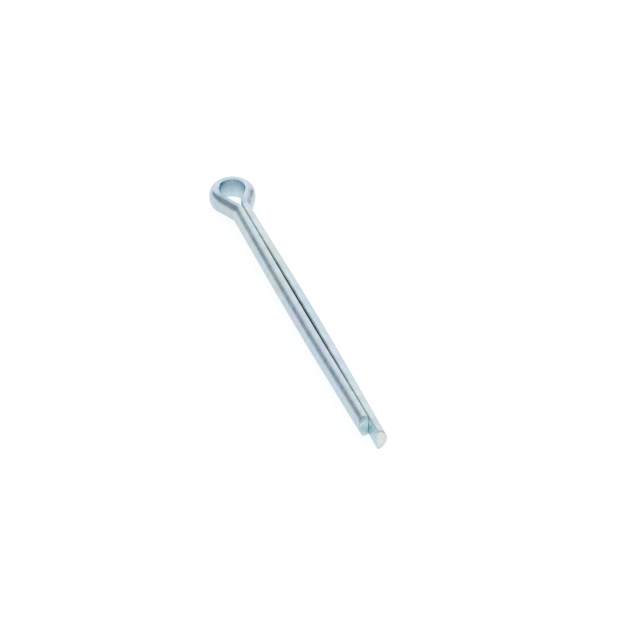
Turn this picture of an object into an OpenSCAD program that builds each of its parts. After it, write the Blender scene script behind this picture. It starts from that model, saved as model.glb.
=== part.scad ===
// Split cotter pin, size 4 x 56: one length of half-round steel wire folded flat to flat,
// with a round eye at the fold and one leg cut longer than the other.
// X runs from the eye to the leg ends, Y across the pair of legs, Z square to the plane of the eye.
// The origin is on the shank axis at the seat, where the legs leave the neck below the eye.

/* [Wire] */
// radius of the round side of the wire
wire_r = 1.84; // [1.75:0.01:1.9]
// thickness of the wire from its flat to its crown
wire_t = 1.71; // [1.6:0.01:1.75]
// rounding along the two edges of the flat
edge_r = 0.18; // [0.1:0.01:0.3]

/* [Eye and neck] */
// inner radius of the eye, on the flat of the wire
eye_r = 2.15; // [1.9:0.05:2.5]
// slope of each neck away from the shank axis
neck_turn = 26.5; // [24:0.1:30]
// radius of the neck bends, on the flat of the wire
neck_r = 2.7; // [2.2:0.1:3]

/* [Legs] */
// length from the seat to the end of the short leg
short_leg = 56; // [45:1:63]
// how far the long leg reaches past the short one
long_extra = 3.85; // [2:0.05:4]
// clear space between the flats at the neck and at the ends
leg_gap = 0.06; // [0.04:0.01:0.1]
// how far each leg bows outward at mid length
bow = 0.24; // [0.1:0.01:0.24]

/* [Cut ends] */
// broken edge round the cut ends
end_chamfer = 0.22; // [0.1:0.02:0.4]
// length of the corner that the cutter rolls over on the short leg
roll_len = 1; // [0.6:0.1:1.4]
// depth of the rolled corner in the end face
roll_depth = 0.5; // [0.3:0.05:0.7]
// direction of the rolled corner, up from the side of the leg
roll_turn = 50; // [35:5:60]

/* [Hidden] */
$fn = 96;
steel = [0.76, 0.81, 0.86];
// centre of the round side, measured from the flat
round_in = wire_t - wire_r;
// corner circles of the section, tangent to the flat and to the round side
corner_z = sqrt(pow(wire_r - edge_r, 2) - pow(edge_r - round_in, 2));
touch_in = round_in + wire_r * (edge_r - round_in) / (wire_r - edge_r);
// each leg leans out to its crest and back in
crest = short_leg / 2;
lean = atan(bow / crest);
bend_turn = neck_turn + lean;
// the neck runs straight between the neck bend and the eye, both tangent to it
bend_y = leg_gap / 2 + neck_r * cos(lean);
eye_to_bend = (eye_r + neck_r - bend_y * cos(neck_turn)) / sin(neck_turn);
neck_len = eye_to_bend * cos(neck_turn) - bend_y * sin(neck_turn);

cotter_pin();

// half-round section: flat on the Y axis, crown toward +X
module wire_section() {
    translate([0, -corner_z]) square([touch_in, 2 * corner_z]);
    for (side = [-1, 1]) translate([edge_r, side * corner_z]) circle(r = edge_r);
    intersection() {
        translate([round_in, 0]) circle(r = wire_r);
        translate([touch_in, -wire_r]) square([wire_t, 2 * wire_r]);
    }
}

// straight wire along +X with its flat toward the axis of the pin
module straight(len) {
    rotate([90, 0, 90]) linear_extrude(height = len) wire_section();
}

// moves a leg from the axis to its own side and leans it out
module on_side() {
    translate([0, leg_gap / 2, 0]) rotate([0, 0, lean]) children();
}

// neck bend from its middle, then straight wire; the origin is the centre of the bend
module half_bend(len) {
    intersection() {
        union() {
            translate([0, -neck_r, 0]) straight(len);
            rotate([0, 0, -90]) mirror([0, 1, 0]) rotate_extrude(angle = bend_turn / 2 + 5)
                translate([neck_r, 0]) mirror([1, 0]) wire_section();
            children();
        }
        rotate([0, 0, -bend_turn / 2]) translate([0, -50, -5]) cube([100, 100, 10]);
    }
}

// half of the eye, one neck, its bend and the leg up to its crest;
// the neck is the leg side of the bend turned round about the middle of the bend
module eye_half() {
    intersection() {
        on_side() translate([0, neck_r, 0]) {
            half_bend(crest + 1);
            rotate([0, 0, -bend_turn / 2]) mirror([1, 0, 0]) rotate([0, 0, bend_turn / 2])
                half_bend(neck_len)
                    translate([neck_len, -neck_r - eye_r, 0]) rotate([0, 0, 90]) mirror([0, 1, 0])
                        rotate_extrude(angle = neck_turn + 100) translate([eye_r, 0]) wire_section();
        }
        translate([crest - 100, 0, -5]) cube([100, 10, 10]);
    }
}

// leg from its cut end to the crest, with the end at -extra; the round edge is broken
module end_half(extra, rolled) {
    intersection() {
        on_side() difference() {
            translate([-extra, 0, 0]) straight(extra + crest + 1);
            translate([0, round_in, 0]) rotate([0, 90, 0]) rotate_extrude() polygon([
                [wire_r - end_chamfer - 1, -extra - 1], [wire_r + 1, end_chamfer - extra + 1],
                [wire_r + 1, -extra - 1]]);
            if (rolled) translate([-extra, round_in, 0]) rotate([roll_turn, 0, 0])
                translate([0, wire_r - roll_depth, 0]) rotate([0, 0, atan(roll_depth / roll_len)])
                    translate([-4, 0, -4]) cube([8, 4, 8]);
        }
        translate([crest - 100, -5, -5]) cube([100, 10, 10]);
    }
}

// one side of the pin, the end half turned round to meet the eye half at the crest
module side(extra, rolled) {
    eye_half();
    translate([short_leg, 0, 0]) mirror([1, 0, 0]) end_half(extra, rolled);
}

// the whole pin: long leg at +Y, short leg at -Y
module cotter_pin() {
    color(steel) {
        side(long_extra, false);
        mirror([0, 1, 0]) side(0, true);
    }
}
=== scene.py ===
import math

import bmesh
import bpy
from mathutils import Matrix, Vector


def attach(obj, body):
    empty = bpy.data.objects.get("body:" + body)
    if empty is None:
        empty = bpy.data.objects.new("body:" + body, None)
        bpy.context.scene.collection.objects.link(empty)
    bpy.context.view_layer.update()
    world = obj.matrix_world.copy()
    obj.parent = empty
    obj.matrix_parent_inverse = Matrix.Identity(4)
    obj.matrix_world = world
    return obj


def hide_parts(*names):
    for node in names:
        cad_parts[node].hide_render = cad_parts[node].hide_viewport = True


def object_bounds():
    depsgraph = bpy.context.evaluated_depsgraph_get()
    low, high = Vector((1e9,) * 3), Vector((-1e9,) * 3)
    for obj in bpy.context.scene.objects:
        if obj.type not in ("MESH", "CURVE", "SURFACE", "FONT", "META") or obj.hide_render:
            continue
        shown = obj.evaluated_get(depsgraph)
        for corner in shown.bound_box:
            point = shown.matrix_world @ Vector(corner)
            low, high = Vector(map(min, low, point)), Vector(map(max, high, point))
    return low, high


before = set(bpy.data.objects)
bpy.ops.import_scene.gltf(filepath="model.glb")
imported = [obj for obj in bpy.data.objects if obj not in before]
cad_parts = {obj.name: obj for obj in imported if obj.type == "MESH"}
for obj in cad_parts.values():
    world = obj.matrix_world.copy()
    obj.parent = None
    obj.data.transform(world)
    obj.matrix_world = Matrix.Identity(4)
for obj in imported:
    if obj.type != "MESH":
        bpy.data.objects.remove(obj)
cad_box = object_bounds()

# ---------------------------------------------------------------------------------------------
# The pin. One length of half-round low-carbon steel wire, drawn through a die that leaves fine
# lines along it, folded flat to flat round a mandrel that makes the eye, sheared at both ends
# and then plated with bright zinc under a thin clear blue passivate.
# ---------------------------------------------------------------------------------------------

mm = 0.001
round_radius = 1.84 * mm            # round side of the wire
wire_depth = 1.708 * mm             # flat to crown
edge_round = 0.25 * mm              # rounding that the die leaves along both edges of the flat
eye_radius = 2.08 * mm              # mandrel of the eye, on the flat
eye_centre = 5.25 * mm              # from the seat back to the middle of the eye
off_centre = 0.07 * mm              # how far the eye sits toward the long leg
neck_radii = (2.7 * mm, 3.4 * mm)   # neck bends of the short and the long side, on the flat
short_leg = 56 * mm                 # from the seat to the end of the short leg
long_extra = 3.84 * mm              # how far the long leg reaches past the short one
half_gap = 0.006 * mm               # from the pin's axis to each flat, at the neck
bow_rises = (0.26 * mm, 0.33 * mm)  # how far the short and the long leg stand off at the crest
bow_share = 0.5                     # share of a leg, about its middle, that is curved
cut_reach = 3 * mm                  # stretch behind each end that the shearing pulled on

curved = short_leg * bow_share / 2
straight = short_leg / 2 - curved
sides = []                          # lean and bow of each leg, turn and straight of its neck
for radius, rise in zip(neck_radii, bow_rises):
    lean = rise / (straight + curved / 2)
    bend_x, bend_y = eye_centre - radius * math.sin(lean), half_gap + radius * math.cos(lean)
    between, both = math.hypot(bend_x, bend_y), eye_radius + radius
    sides.append((lean, 2 * lean * curved / math.sin(lean),
                  math.asin(both / between) - math.atan2(bend_y, bend_x) + lean,
                  math.sqrt(between ** 2 - both ** 2)))
(short_lean, short_bow, short_turn, short_neck), (long_lean, long_bow, long_turn, long_neck) = sides
eye_turn = math.pi + short_turn + long_turn - short_lean - long_lean

wire = bmesh.new()
drawn = wire.verts.layers.float_vector.new("drawn")      # place in the wire before it was bent
grain_way = wire.verts.layers.float_vector.new("grain")  # the way that the wire was drawn
cut_end = wire.verts.layers.float.new("cut_end")         # 1 on the sheared ends


def newest(spun, kind):
    """The vertices or edges that a spin or an extrusion left at its open end."""
    return [part for part in spun.get("geom_last", spun.get("geom", [])) if isinstance(part, kind)]


def swell(value, start, stop):
    """Goes smoothly from 0 to 1 while the value goes from start to stop."""
    share = min(max((value - start) / (stop - start), 0), 1)
    return share * share * (3 - 2 * share)


# half of the section is the flat, one rounded edge and the round side up to its crown; the mirror
# makes it whole
round_centre = wire_depth - round_radius
corner_z = math.sqrt((round_radius - edge_round) ** 2 - (edge_round - round_centre) ** 2)
corner_turn = math.atan2(corner_z, edge_round - round_centre)
flat_steps = 7
outline = bmesh.ops.create_vert(wire, co=(0, 0, 0))["vert"]
for cent, dvec, angle, steps in (
        ((0, 0, 0), (0, 0, corner_z / flat_steps), 0, flat_steps),
        ((0, edge_round, corner_z), (0, 0, 0), corner_turn - math.pi, 6),
        ((0, round_centre, 0), (0, 0, 0), -corner_turn, 28)):
    outline = newest(bmesh.ops.spin(wire, geom=outline, cent=cent, axis=(1, 0, 0), dvec=dvec,
                                    angle=angle, steps=steps, use_merge=False), bmesh.types.BMVert)
bmesh.ops.mirror(wire, geom=wire.verts[:] + wire.edges[:], axis='Z', merge_dist=1e-7)
bmesh.ops.remove_doubles(wire, verts=wire.verts, dist=1e-7)
for v in wire.verts:
    v[drawn] = v.co

# the section is drawn out along the pin from the short end round to the long one; each stretch has
# its length, its turn and its number of steps
place = Vector((0, -half_gap, 0))
heading = math.pi + short_lean
bmesh.ops.rotate(wire, verts=wire.verts, matrix=Matrix.Rotation(heading, 3, 'Z'))
bmesh.ops.translate(wire, verts=wire.verts, vec=place)
end = short_end = wire.edges[:]
short_place, short_heading = place.copy(), heading
for v in wire.verts:
    v[grain_way] = (math.cos(heading), math.sin(heading), 0)
run = 0.0

for length, turn, steps in (
        (cut_reach, 0, 20), (straight - cut_reach, 0, 16), (short_bow, -2 * short_lean, 30),
        (straight, 0, 20),
        (neck_radii[0] * short_turn, short_turn, 16), (short_neck, 0, 5),
        (eye_radius * eye_turn, -eye_turn, 90),
        (long_neck, 0, 5), (neck_radii[1] * long_turn, long_turn, 16),
        (straight, 0, 20), (long_bow, -2 * long_lean, 30),
        (straight + long_extra - cut_reach, 0, 20), (cut_reach, 0, 16)):
    for _ in range(steps):
        ahead = Vector((math.cos(heading), math.sin(heading), 0)) * (length / steps)
        if turn:
            centre = place + Matrix.Rotation(math.pi / 2, 3, 'Z') @ ahead * (steps / turn)
            spun = bmesh.ops.spin(wire, geom=end, cent=centre, axis=(0, 0, 1),
                                  angle=turn / steps, steps=1, use_merge=False)
            place = centre + Matrix.Rotation(turn / steps, 3, 'Z') @ (place - centre)
        else:
            spun = bmesh.ops.spin(wire, geom=end, axis=(0, 0, 1), dvec=ahead, angle=0, steps=1,
                                  use_merge=False)
            place = place + ahead
        heading += turn / steps
        run += length / steps
        end = newest(spun, bmesh.types.BMEdge)
        for v in {v for e in end for v in e.verts}:
            v[drawn].x = run
            v[grain_way] = (math.cos(heading), math.sin(heading), 0)

# the whole pin is set so that the outside of the eye lies at its own distance behind the seat
settle = Vector((-eye_centre - eye_radius - wire_depth - min(v.co.x for v in wire.verts), 0, 0))
bmesh.ops.translate(wire, verts=wire.verts, vec=settle)
place, short_place = place + settle, short_place + settle

# where the wire is bent round the eye its round side spreads and squares up a little
eye_run = (run - long_extra) / 2
top = corner_z + edge_round
shoulder_spread = 0.085 * round_radius
for v in wire.verts:
    bent = 1 - swell(abs(v[drawn].x - eye_run), 3.2 * mm, 5.2 * mm)
    if bent > 0 and v[drawn].y > edge_round:
        shoulder = math.atan2(v[drawn].z, v[drawn].y - round_centre)
        spread = shoulder_spread * math.sin(2 * shoulder) ** 2 * bent
        outward = Vector((v.co.x + eye_centre, v.co.y, 0)).normalized()
        v.co += outward * spread * math.cos(shoulder)
        v.co.z += spread * math.sin(shoulder)
        v.co.z = min(max(v.co.z, -top), top)

# bending rolled the long side of the neck and pressed the top edge of the flat rounder on the short
# side of the eye and along the long leg. In the eye the rest of that edge and the lower one were
# drawn out, and the mandrel left a dent at the top edge. Each starts and stops at a place along the
# wire, past the middle of the eye
neck_roll = 0.17                   # about the middle of the flat, in radians
short_wear, long_wear, wear_reach = 0.34 * mm, 0.26 * mm, 0.85 * mm
top_draw, low_draw = 0.15 * mm, 0.1 * mm
dent_depth, dent_reach = 0.14 * mm, 0.5 * mm
for v in wire.verts:
    past = v[drawn].x - eye_run
    outward = Vector((-v[grain_way].y, v[grain_way].x, 0))
    rolled = neck_roll * swell(past, 5 * mm, 6.5 * mm) * swell(-past, -8.5 * mm, -6.5 * mm)
    v.co += (Vector((0, 0, 1)) * v[drawn].y - outward * v[drawn].z) * rolled
    worn = (short_wear * swell(-past, 2 * mm, 4 * mm) * swell(past, -9 * mm, -6 * mm)
            + long_wear * swell(past, 5 * mm, 8 * mm)
            - top_draw * swell(past, -3 * mm, -1.5 * mm) * swell(-past, -6 * mm, -4 * mm))
    dent = dent_depth * swell(past, -2.5 * mm, -1.5 * mm) * swell(-past, 0.2 * mm, 1 * mm)
    if v[drawn].z < 0:
        worn, dent = low_draw * (1 - swell(abs(past), 5 * mm, 7 * mm)), 0
    worn *= swell(abs(v[drawn].z), 0.8 * mm, 1.6 * mm)
    v.co.z -= worn * max(1 - v[drawn].y / wear_reach, 0) ** 2
    v.co.z = min(max(v.co.z, -top), top)
    dent *= swell(v[drawn].z, 1.1 * mm, 1.6 * mm)
    v.co += outward * dent * max(1 - v[drawn].y / dent_reach, 0)


def round_corner(turn, middle, reach):
    """1 in the middle of a corner of the section, falling to 0 at reach degrees to either side."""
    return math.cos(math.radians(min(abs(turn - middle) / reach, 1) * 90)) ** 2


# both ends are sheared; the blade leaves a small radius round the cut. On the short leg it rolled
# the top corner over and dragged the lower outside one out, the long leg it cut a little askew.
# The radius draws in toward a point at a share of the wire's depth, and rings then fill the cut.
# A corner's place on the section is in degrees up from the crown
rim_steps, cut_rings, ring_inset = 5, 6, 0.14
rim_on_sides = 0.45                # how much of the radius is left on the sides of the wire
roll_turn, roll_reach, roll_length = 68, 60, 0.6 * mm
drag_turn, drag_reach = -26, 56.25
sharp_share = 0.75                 # share of the radius that the lower edge goes without
bared_at = 0.06 * mm               # how deep a rolled corner is where it counts as cut
for edges, at, out, way, rim, closes_at, roll, drag, askew in (
        (end, place, heading, 1, 0.2 * mm, 0.04, 0, 0, 0.05 * mm),
        (short_end, short_place, short_heading, -1, 0.12 * mm, 0.5, 0.42 * mm, 0.8 * mm, 0)):
    ahead = Vector((math.cos(out), math.sin(out), 0)) * way
    outward = Matrix.Rotation(math.pi / 2, 3, 'Z') @ ahead * way
    middle = at + outward * wire_depth * closes_at - ahead * rim
    end_run = edges[0].verts[0][drawn].x
    bmesh.ops.translate(wire, verts=list({v for e in edges for v in e.verts}), vec=-ahead * rim)
    reach, across, along_z = 0.0, 1.0, 1.0
    for step in range(1, rim_steps + cut_rings + 1):
        angle = min(step / rim_steps, 1) * math.pi / 2
        edges = newest(bmesh.ops.extrude_edge_only(wire, edges=edges), bmesh.types.BMEdge)
        ring = list({v for e in edges for v in e.verts})
        forward, inset = rim * math.sin(angle), rim * (1 - math.cos(angle))
        inward = 1 - ring_inset * max(step - rim_steps, 0)
        new_across = inward * (1 - inset / (wire_depth * (1 - closes_at)))
        new_along_z = inward * (1 - rim_on_sides * inset / round_radius)
        bmesh.ops.translate(wire, verts=ring, vec=ahead * (forward - reach))
        middle = middle + ahead * (forward - reach)
        bmesh.ops.scale(wire, verts=ring, vec=(1, new_across / across, new_along_z / along_z),
                        space=Matrix.Translation(-middle))
        reach, across, along_z = forward, new_across, new_along_z
        for v in ring:
            v[cut_end] = min(step / rim_steps, 1) ** 2
            if step >= rim_steps - 1:
                v[grain_way] = (0, 0, 1)
    bmesh.ops.contextual_create(wire, geom=edges)
    for v in wire.verts:
        if abs(v[drawn].x - end_run) < cut_reach + 0.001 * mm:
            local = v.co - at
            behind, y, z = -local.dot(ahead), local.dot(outward) - round_centre, local.z
            turn, size = math.degrees(math.atan2(z, y)), math.hypot(y, z) / round_radius
            near = min(max(1 - behind / cut_reach, 0), 1)
            dragged = drag * round_corner(turn, drag_turn, drag_reach) * size
            v.co += ahead * near * (dragged - askew * (1 + z / round_radius))
            fall = (roll * round_corner(turn, roll_turn, roll_reach) * size ** 2
                    * min(max(1 - behind / roll_length, 0), 1) ** 1.1)
            v.co -= (outward * y + Vector((0, 0, z))).normalized() * fall
            v[cut_end] = max(v[cut_end], min(fall / bared_at, 1))
            if behind < 1.01 * rim:
                v.co += ahead * max(behind, 0) * sharp_share * swell(-turn, 25, 75)

# along the legs the flats belly toward each other, less so at the crest; the eye was set a little
# toward the long leg
belly_share, crest_share = 0.88, 0.55
for v in wire.verts:
    stands_off = max(abs(v.co.y) - v[drawn].y, 0) * swell(v.co.x, 0, 2 * mm)
    if v[cut_end] == 0:
        crest = stands_off / bow_rises[v.co.y > 0]
        share = belly_share + (crest_share - belly_share) * crest
        belly = share * stands_off * (1 - v[drawn].y / wire_depth)
        v.co.y -= math.copysign(belly, v.co.y)
    v.co.y += off_centre * swell(-v.co.x, 0.3 * mm, 4.5 * mm)

bmesh.ops.recalc_face_normals(wire, faces=wire.faces)
for face in wire.faces:
    face.smooth = True
mesh = bpy.data.meshes.new("split_pin")
wire.to_mesh(mesh)
wire.free()
pin = bpy.data.objects.new("split_pin", mesh)
bpy.context.scene.collection.objects.link(pin)
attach(pin, "root")
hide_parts("cotter_pin")

zinc = bpy.data.materials.new("bright_zinc")
zinc.use_nodes = True
coat = zinc.node_tree
plate = coat.nodes["Principled BSDF"]


def link_in(tree, value, socket):
    """Puts a socket, a number or a colour into a socket."""
    if isinstance(value, bpy.types.NodeSocket):
        tree.links.new(value, socket)
    else:
        socket.default_value = value


def maths(tree, operation, *terms):
    """Adds one Math node to a tree; each term is a socket or a number."""
    node = tree.nodes.new("ShaderNodeMath")
    node.operation = operation
    for socket, term in zip(node.inputs, terms):
        link_in(tree, term, socket)
    return node.outputs[0]


def soft_step(tree, source, start, stop, low=0.0, high=1.0):
    """Goes smoothly from low to high while the source goes from start to stop."""
    ramp = tree.nodes.new("ShaderNodeMapRange")
    ramp.interpolation_type = 'SMOOTHSTEP'
    for name, value in (("From Min", start), ("From Max", stop), ("To Min", low), ("To Max", high)):
        ramp.inputs[name].default_value = value
    tree.links.new(source, ramp.inputs["Value"])
    return ramp.outputs["Result"]


def blend(tree, how, share, under, over):
    """Lays one colour over another."""
    node = tree.nodes.new("ShaderNodeMix")
    node.data_type, node.blend_type = 'RGBA', how
    link_in(tree, share, node.inputs["Factor"])
    link_in(tree, under, node.inputs[6])
    link_in(tree, over, node.inputs[7])
    return node.outputs[2]


def grain_of(tree, where, stretch, detail, roughness=0.5):
    """A cloudy pattern; stretch is the number of clouds in a metre along each axis."""
    spread = tree.nodes.new("ShaderNodeVectorMath")
    spread.operation = 'MULTIPLY'
    spread.inputs[1].default_value = stretch
    tree.links.new(where, spread.inputs[0])
    noise = tree.nodes.new("ShaderNodeTexNoise")
    noise.inputs["Scale"].default_value = 1.0
    noise.inputs["Detail"].default_value = detail
    noise.inputs["Roughness"].default_value = roughness
    tree.links.new(spread.outputs[0], noise.inputs["Vector"])
    return noise.outputs["Fac"]


def attribute(tree, name, output="Vector"):
    """A value that the wire carries on its mesh."""
    node = tree.nodes.new("ShaderNodeAttribute")
    node.attribute_name = name
    return node.outputs[output]


place_of = coat.nodes.new("ShaderNodeTexCoord").outputs["Object"]
in_wire = attribute(coat, "drawn")
section = coat.nodes.new("ShaderNodeSeparateXYZ")
coat.links.new(in_wire, section.inputs[0])
along, from_flat, sideways = (section.outputs[axis] for axis in "XYZ")
cut = attribute(coat, "cut_end", "Fac")
leg = maths(coat, 'SUBTRACT', 1.0, cut)

# masks: the flat that was turned inward and where it lies open, the two edges of the flat, and
# the rim of each cut
whole = coat.nodes.new("ShaderNodeSeparateXYZ")
coat.links.new(place_of, whole.inputs[0])
toward_ends, toward_long, upward = (whole.outputs[axis] for axis in "XYZ")
on_flat = maths(coat, 'MULTIPLY', soft_step(coat, from_flat, 0.1 * mm, 0.02 * mm), leg)
in_eye = soft_step(coat, toward_ends, -1 * mm, -2.6 * mm)
past_short = soft_step(coat, toward_ends, 55.4 * mm, 56 * mm)
open_flat = maths(coat, 'MULTIPLY', on_flat, maths(coat, 'ADD', in_eye, past_short))
on_edge = maths(coat, 'MULTIPLY',
                soft_step(coat, maths(coat, 'ABSOLUTE', sideways), 1.58 * mm, 1.78 * mm),
                soft_step(coat, from_flat, 0.75 * mm, 0.3 * mm))
on_rim = maths(coat, 'MULTIPLY', maths(coat, 'MULTIPLY', cut, leg), 4.0)
on_short_end = soft_step(coat, along, 4 * mm, 3 * mm)

# patterns: plating crystals, slow tints of the passivate, and the lines of the die
clouds = grain_of(coat, place_of, (480, 480, 480), 3, 0.6)
speckle = grain_of(coat, place_of, (3800, 3800, 3800), 2)
tint_cloud = grain_of(coat, place_of, (170, 210, 210), 2)
lines = grain_of(coat, in_wire, (28, 7000, 7000), 3, 0.6)
waves = grain_of(coat, place_of, (330, 420, 420), 1)

# the passivate goes from blue to grey-green and violet, with a few pale green stains and a violet
# one; each stain has its place along and across the pin and its radius, in mm
blue, grey_green = (0.585, 0.728, 0.808, 1), (0.645, 0.742, 0.765, 1)
violet = (0.655, 0.705, 0.815, 1)
colour = blend(coat, 'MIX', soft_step(coat, tint_cloud, 0.42, 0.62), blue, grey_green)
colour = blend(coat, 'MIX', soft_step(coat, tint_cloud, 0.46, 0.34, 0, 0.8), colour, violet)
for x, y, radius, stain in ((1.5, 0.2, 2.6, (0.690, 0.740, 0.700, 1)),
                            (12.5, 1.2, 3.4, (0.690, 0.725, 0.690, 1)),
                            (20.5, -1.5, 3.0, (0.680, 0.720, 0.700, 1)),
                            (-5.5, 3.6, 2.6, (0.640, 0.675, 0.775, 1)),
                            (58.6, 1.0, 1.4, (0.700, 0.715, 0.680, 1))):
    away = coat.nodes.new("ShaderNodeVectorMath")
    away.operation = 'DISTANCE'
    away.inputs[1].default_value = (x * mm, y * mm, 1 * mm)
    coat.links.new(place_of, away.inputs[0])
    ragged = maths(coat, 'ADD', away.outputs["Value"], maths(coat, 'MULTIPLY', tint_cloud, 3 * mm))
    colour = blend(coat, 'MIX', soft_step(coat, ragged, (radius + 1.6) * mm, 1.6 * mm, 0, 0.65),
                   colour, stain)

# the flat is a little duller where it was turned inward; where it lies open, in the eye and past
# the short end, its colour is painted lighter, as painted light
dull_flat, open_flat_painted_light = (0.94, 0.92, 0.89, 1), (1.03, 1.20, 1.21, 1)
colour = blend(coat, 'MULTIPLY', on_flat, colour, dull_flat)
colour = blend(coat, 'MULTIPLY', open_flat, colour, open_flat_painted_light)

# the cuts show paler metal; the top of the short end, next to the long leg, is painted darker as
# painted shade
long_cut, short_cut = (0.84, 0.865, 0.83, 1), (0.88, 1.0, 1.0, 1)
cut_top_shade_colour, grey_rim = (0.42, 0.63, 0.69, 1), (0.44, 0.48, 0.50, 1)
cut_top_shade = maths(coat, 'MULTIPLY', soft_step(coat, upward, 0.9 * mm, 1.7 * mm),
                  soft_step(coat, toward_long, -1.6 * mm, -0.8 * mm))
sheared = blend(coat, 'MIX', on_short_end, long_cut,
                blend(coat, 'MIX', cut_top_shade, short_cut, cut_top_shade_colour))
colour = blend(coat, 'MIX', maths(coat, 'MULTIPLY', cut, 0.85), colour, sheared)
rim_share = maths(coat, 'MULTIPLY', on_rim, soft_step(coat, on_short_end, 0, 1, 0.1, 0.05))
colour = blend(coat, 'MIX', rim_share, colour, grey_rim)

# the plating is worn along the edges of the flat; painted shade darkens the slit and the other
# crevices, and the eye's wall gets painted shade at its top and painted light at its foot
worn_zinc, crevice_shade_colour = (0.72, 0.78, 0.80, 1), (0.60, 0.72, 0.76, 1)
wear = maths(coat, 'MULTIPLY', on_edge, soft_step(coat, clouds, 0.42, 0.6, 0.15, 0.6))
colour = blend(coat, 'MIX', wear, colour, worn_zinc)
# painted shade: the colour darkens where the occlusion within 1.6 mm is high, in the slit and other
# crevices
crevice = coat.nodes.new("ShaderNodeAmbientOcclusion")
crevice.samples = 8
crevice.inputs["Distance"].default_value = 1.6 * mm
colour = blend(coat, 'MULTIPLY', soft_step(coat, crevice.outputs["AO"], 0.5, 0.1, 0, 0.6), colour,
               crevice_shade_colour)
# painted light and shade on the eye's wall: lighter at its foot, which faces the floor, and darker
# toward its top
lit_eye_foot, shaded_eye_top = (1.16, 1.10, 1.17, 1), (0.72, 0.715, 0.775, 1)
eye_wall_light_and_shade = blend(coat, 'MIX', soft_step(coat, upward, -1.6 * mm, 1.3 * mm), lit_eye_foot, shaded_eye_top)
colour = blend(coat, 'MULTIPLY', maths(coat, 'MULTIPLY', in_eye, on_flat), colour, eye_wall_light_and_shade)

# the crystals and the die lines make the zinc a few hundredths lighter or darker
shade = maths(coat, 'MULTIPLY', soft_step(coat, clouds, 0.3, 0.7, 0.94, 1.08),
              soft_step(coat, speckle, 0.3, 0.7, 0.985, 1.015))
shade = maths(coat, 'MULTIPLY', shade, soft_step(coat, lines, 0.3, 0.7, 0.98, 1.02))
shading = coat.nodes.new("ShaderNodeVectorMath")
shading.operation = 'SCALE'
coat.links.new(colour, shading.inputs[0])
coat.links.new(shade, shading.inputs["Scale"])
coat.links.new(shading.outputs[0], plate.inputs["Base Color"])

# the die lines spread what the zinc mirrors across the wire, and the cuts are rougher
plate.inputs["Metallic"].default_value = 1.0
rough = maths(coat, 'ADD', soft_step(coat, clouds, 0.35, 0.65, 0.25, 0.30),
              maths(coat, 'MULTIPLY', cut, 0.2))
coat.links.new(rough, plate.inputs["Roughness"])
plate.inputs["Anisotropic"].default_value = 0.63
plate.inputs["Anisotropic Rotation"].default_value = 0.25
coat.links.new(attribute(coat, "grain"), plate.inputs["Tangent"])

# slow waves, the lines of the die and the crystals stand up as relief
relief = None
for height, strength, distance in ((waves, 0.13, 0.05 * mm), (lines, 0.16, 0.006 * mm),
                                   (speckle, 0.1, 0.003 * mm)):
    bump = coat.nodes.new("ShaderNodeBump")
    bump.inputs["Strength"].default_value = strength
    bump.inputs["Distance"].default_value = distance
    coat.links.new(height, bump.inputs["Height"])
    if relief is not None:
        coat.links.new(relief, bump.inputs["Normal"])
    relief = bump.outputs["Normal"]
coat.links.new(relief, plate.inputs["Normal"])
mesh.materials.append(zinc)

# ---------------------------------------------------------------------------------------------
# The studio: a plain white floor that the pin lies on, a soft white tent round it that is open
# on both sides, and the camera, which looks down on the pin from beyond the ends of its legs.
# ---------------------------------------------------------------------------------------------

floor_mesh = bpy.data.meshes.new("floor")
sheet = bmesh.new()
bmesh.ops.create_grid(sheet, x_segments=1, y_segments=1, size=4)
bmesh.ops.translate(sheet, verts=sheet.verts, vec=(0, 0, cad_box[0].z))
sheet.to_mesh(floor_mesh)
sheet.free()
floor = bpy.data.objects.new("floor", floor_mesh)
bpy.context.scene.collection.objects.link(floor)
white = bpy.data.materials.new("white_floor")
white.use_nodes = True
sheet_tree = white.node_tree
paper = sheet_tree.nodes["Principled BSDF"]
paper.inputs["Roughness"].default_value = 0.9
paper.inputs["Specular IOR Level"].default_value = 0.0

# the floor glows a little, so that it stays white, and what the pin mirrors of it is dimmer
seen_glow, mirrored_glow = 0.86, 0.6
plain_tone, mirrored_tone = (0.25, 0.25, 0.25, 1), (0.48, 0.48, 0.48, 1)
rays = sheet_tree.nodes.new("ShaderNodeLightPath").outputs
mirrored = maths(sheet_tree, 'MAXIMUM', rays["Is Glossy Ray"], rays["Is Transmission Ray"])
glow = maths(sheet_tree, 'MAXIMUM', maths(sheet_tree, 'MULTIPLY', rays["Is Camera Ray"], seen_glow),
             maths(sheet_tree, 'MULTIPLY', mirrored, mirrored_glow))
tone = blend(sheet_tree, 'MIX', mirrored, plain_tone, mirrored_tone)
sheet_tree.links.new(tone, paper.inputs["Base Color"])
paper.inputs["Emission Color"].default_value = (1, 1, 1, 1)
sheet_tree.links.new(glow, paper.inputs["Emission Strength"])
floor_mesh.materials.append(white)

# the tent is white behind and above, but for a grey vent overhead, a little greyer in front, and
# open and dim on both sides; the open sides draw the dark line along the wire
world = bpy.data.worlds.new("studio")
bpy.context.scene.world = world
world.use_nodes = True
tent = world.node_tree
toward = tent.nodes.new("ShaderNodeTexCoord").outputs["Generated"]


def patch_of(direction, edge, core):
    """A round patch of the tent, 1 in its core and 0 past its edge, both given as cosines."""
    dot = tent.nodes.new("ShaderNodeVectorMath")
    dot.operation = 'DOT_PRODUCT'
    dot.inputs[1].default_value = direction
    tent.links.new(toward, dot.inputs[0])
    return soft_step(tent, dot.outputs["Value"], edge, core)


def side_of(azimuth, tilt, softness):
    """1 on the side of the tent that a direction points to, from a plane through the pin."""
    azimuth, tilt, softness = (math.radians(turn) for turn in (azimuth, tilt, softness))
    return patch_of((math.cos(tilt) * math.cos(azimuth), math.cos(tilt) * math.sin(azimuth),
                     math.sin(tilt)), -math.sin(softness), math.sin(softness))


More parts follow.
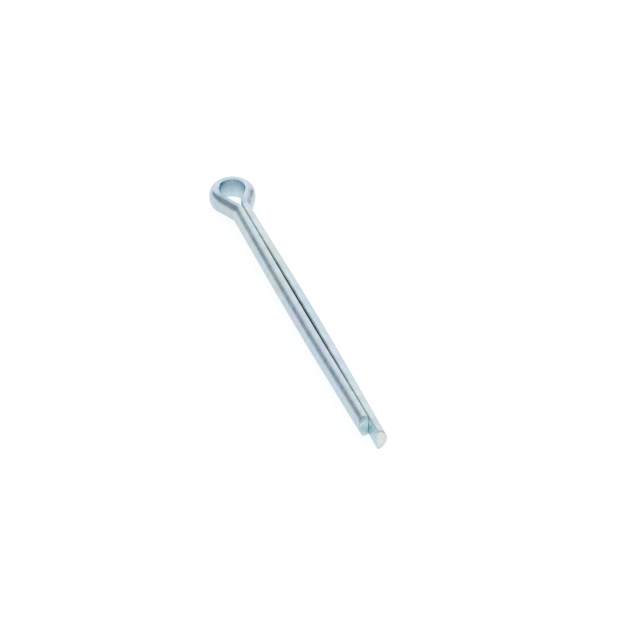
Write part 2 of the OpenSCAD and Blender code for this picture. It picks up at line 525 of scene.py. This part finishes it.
aloft = tent.nodes.new("ShaderNodeSeparateXYZ")
tent.links.new(toward, aloft.inputs[0])
left_opening = maths(tent, 'MULTIPLY', side_of(294, -12.5, 1), side_of(210, 0, 15))
right_opening = maths(tent, 'MULTIPLY', side_of(24, 0, 9), side_of(150, 0, 15))
right_opening = maths(tent, 'MULTIPLY', right_opening,
                      soft_step(tent, aloft.outputs["Z"], 0.72, 0.42))
white_cloth, grey_cloth = (1.0, 1.0, 1.0, 1), (0.78, 0.78, 0.78, 1)
cloth = blend(tent, 'MIX', side_of(340, 0, 40), white_cloth, grey_cloth)
for part_of_tent, shade_of_it in (
        (patch_of((0.684, 0.121, 0.719), 0.93, 0.985), (0.58, 0.59, 0.61, 1)),      # camera's side
        (patch_of((-0.406, 0.164, 0.899), 0.945, 0.978), (0.30, 0.32, 0.34, 1)),    # vent overhead
        (left_opening, (0.25, 0.295, 0.345, 1)),
        (right_opening, (0.31, 0.31, 0.35, 1)),
        (side_of(275, -78, 1.5), (1.05, 1.05, 1.05, 1)),                            # low white card
        (tent.nodes.new("ShaderNodeLightPath").outputs["Is Camera Ray"], white_cloth)):
    cloth = blend(tent, 'MIX', part_of_tent, cloth, shade_of_it)
tent.links.new(cloth, tent.nodes["Background"].inputs["Color"])
tent.nodes["Background"].inputs["Strength"].default_value = 1.0

# the camera stands 39 degrees above the floor, beyond the leg ends and a little to the short leg's
# side; its distance is taken from the CAD eye, and its aim is this far right of the eye and below
camera_distance, aim_right, aim_below = 1.1, 14.46 * mm, 20.39 * mm
back = Vector((0.7277, -0.2725, 0.6293)).normalized()
right = Vector((0.3507, 0.9365, 0)).normalized()
up = back.cross(right)
cad_eye = Vector((-5.417 * mm, 0, 0))
camera = bpy.data.cameras.new("camera")
camera.lens, camera.sensor_width = 377.6, 36
camera_object = bpy.data.objects.new("camera", camera)
bpy.context.scene.collection.objects.link(camera_object)
camera_object.location = cad_eye + back * camera_distance
aim = cad_eye + right * aim_right - up * aim_below
swing = back.rotation_difference(camera_object.location - aim).to_matrix()
camera_object.rotation_euler = (swing @ Matrix((right, up, back)).transposed()).to_euler()
bpy.context.scene.camera = camera_object
bpy.context.scene.view_settings.view_transform = 'Standard'
